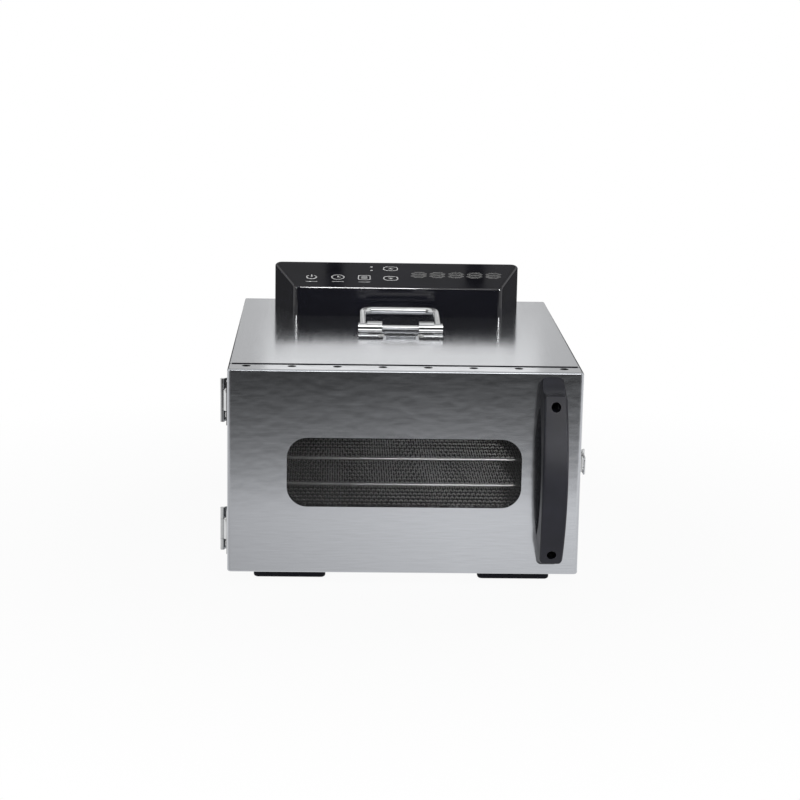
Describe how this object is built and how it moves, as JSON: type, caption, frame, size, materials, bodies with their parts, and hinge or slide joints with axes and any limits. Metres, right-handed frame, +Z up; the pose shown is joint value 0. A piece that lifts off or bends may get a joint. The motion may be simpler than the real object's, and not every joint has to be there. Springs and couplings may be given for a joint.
{
  "type": "food dehydrator",
  "caption": "Steel cabinet food dehydrator with a windowed front door, sliding wire trays, a rear fan and heater, a top touch console and a folding carry handle.",
  "frame": {"origin": "middle of the footprint on the surface that the feet stand on", "axes": "+X to the right seen from the door, +Y from the door to the back, +Z up"},
  "size_m": [0.3627, 0.4718, 0.266],
  "materials": {
    "sheet_steel": "fine brushed stainless sheet",
    "door_steel": "brushed stainless, mottled grain along the width",
    "inner_steel": "plain stainless sheet",
    "tray_wire": "bright drawn wire",
    "bright_chrome": "polished chrome",
    "screw_steel": "plated steel",
    "handle_plastic": "matte black moulding",
    "console_plastic": "glossy black moulding",
    "console_touch": "glossy black touch panel, printed icons",
    "window_pane": "clear toughened glass",
    "black_rubber": "matte black rubber",
    "heater_steel": "dark oxidised sheath",
    "ceramic": "white ceramic, stood in for by a hard plastic",
    "motor_iron": "laminated iron",
    "fan_aluminium": "plain aluminium",
    "circuit_board": "green laminate",
    "display_plastic": "dark display block",
    "inlet_plastic": "black moulding",
    "inlet_brass": "plated brass blades"
  },
  "bodies": {
    "cabinet": {"air_baffle": "inner_steel", "back_left_foot": "black_rubber", "back_right_foot": "black_rubber", "base_pan": "sheet_steel", "cabinet_screws": "screw_steel", "cabinet_shell": "sheet_steel", "cable_grommet": "black_rubber", "carry_base": "bright_chrome", "carry_pin": "bright_chrome", "carry_screws": "screw_steel", "console_board": "circuit_board", "console_display": "display_plastic", "console_glass": "console_touch", "console_housing": "console_plastic", "console_screws": "screw_steel", "fan_motor": "motor_iron", "fan_wall": "inner_steel", "foot_screws": "screw_steel", "front_frame": "inner_steel", "front_left_foot": "black_rubber", "front_right_foot": "black_rubber", "heater_ring": "heater_steel", "heater_standoffs": "ceramic", "hinge_cabinet_leaves": "bright_chrome", "hinge_cabinet_screws": "screw_steel", "hinge_pins": "bright_chrome", "inlet_pins": "inlet_brass", "latch_base": "bright_chrome", "latch_pin": "bright_chrome", "latch_screws": "screw_steel", "left_runners": "inner_steel", "motor_pillars": "screw_steel", "power_inlet": "inlet_plastic", "rear_panel": "sheet_steel", "right_runners": "inner_steel", "temperature_probe": "screw_steel", "thermal_cutout": "ceramic"},
    "door": {"door_skin": "door_steel", "door_liner": "inner_steel", "window_glass": "window_pane", "window_gasket": "black_rubber", "window_surround": "inner_steel", "door_seal": "black_rubber", "door_handle": "handle_plastic", "door_handle_screws": "screw_steel", "hinge_door_leaves": "bright_chrome", "hinge_door_screws": "screw_steel", "latch_keeper": "bright_chrome", "keeper_screws": "screw_steel"},
    "carry_bail": {"carry_bail": "bright_chrome"},
    "latch_lever": {"latch_lever": "bright_chrome"},
    "latch_loop": {"latch_loop": "bright_chrome"},
    "fan": {"fan_shaft": "screw_steel", "fan_impeller": "fan_aluminium"},
    "tray_1": {"tray_1": "tray_wire"},
    "tray_2": {"tray_2": "tray_wire"},
    "tray_3": {"tray_3": "tray_wire"},
    "tray_4": {"tray_4": "tray_wire"},
    "tray_5": {"tray_5": "tray_wire"},
    "tray_6": {"tray_6": "tray_wire"}
  },
  "joints": [
    {"name": "door_swing", "type": "hinge", "parent": "cabinet", "child": "door", "pos_m": [-0.1783, -0.15125, 0.116], "axis": [0, 0, -1], "range_deg": [0, 175]},
    {"name": "carry_lift", "type": "hinge", "parent": "cabinet", "child": "carry_bail", "pos_m": [0, 0.01875, 0.224], "axis": [1, 0, 0], "range_deg": [0, 82]},
    {"name": "latch_lever_swing", "type": "hinge", "parent": "cabinet", "child": "latch_lever", "pos_m": [0.1767, -0.14425, 0.1205], "axis": [0, 0, -1], "range_deg": [-12, 120]},
    {"name": "latch_loop_swing", "type": "hinge", "parent": "latch_lever", "child": "latch_loop", "pos_m": [0.17767, -0.13631, 0.1205], "axis": [0, 0, -1], "range_deg": [-120, 12]},
    {"name": "fan_spin", "type": "hinge", "parent": "cabinet", "child": "fan", "pos_m": [0, 0.16775, 0.116], "axis": [0, 1, 0], "continuous": true},
    {"name": "tray_1_slide", "type": "slide", "parent": "cabinet", "child": "tray_1", "axis": [0, -1, 0], "range_m": [0, 0.014]},
    {"name": "tray_2_slide", "type": "slide", "parent": "cabinet", "child": "tray_2", "axis": [0, -1, 0], "range_m": [0, 0.014]},
    {"name": "tray_3_slide", "type": "slide", "parent": "cabinet", "child": "tray_3", "axis": [0, -1, 0], "range_m": [0, 0.014]},
    {"name": "tray_4_slide", "type": "slide", "parent": "cabinet", "child": "tray_4", "axis": [0, -1, 0], "range_m": [0, 0.014]},
    {"name": "tray_5_slide", "type": "slide", "parent": "cabinet", "child": "tray_5", "axis": [0, -1, 0], "range_m": [0, 0.014]},
    {"name": "tray_6_slide", "type": "slide", "parent": "cabinet", "child": "tray_6", "axis": [0, -1, 0], "range_m": [0, 0.014]}
  ],
  "couplings": [
    {"joint": "latch_loop_swing", "follows": "latch_lever_swing", "ratio": -1}
  ]
}
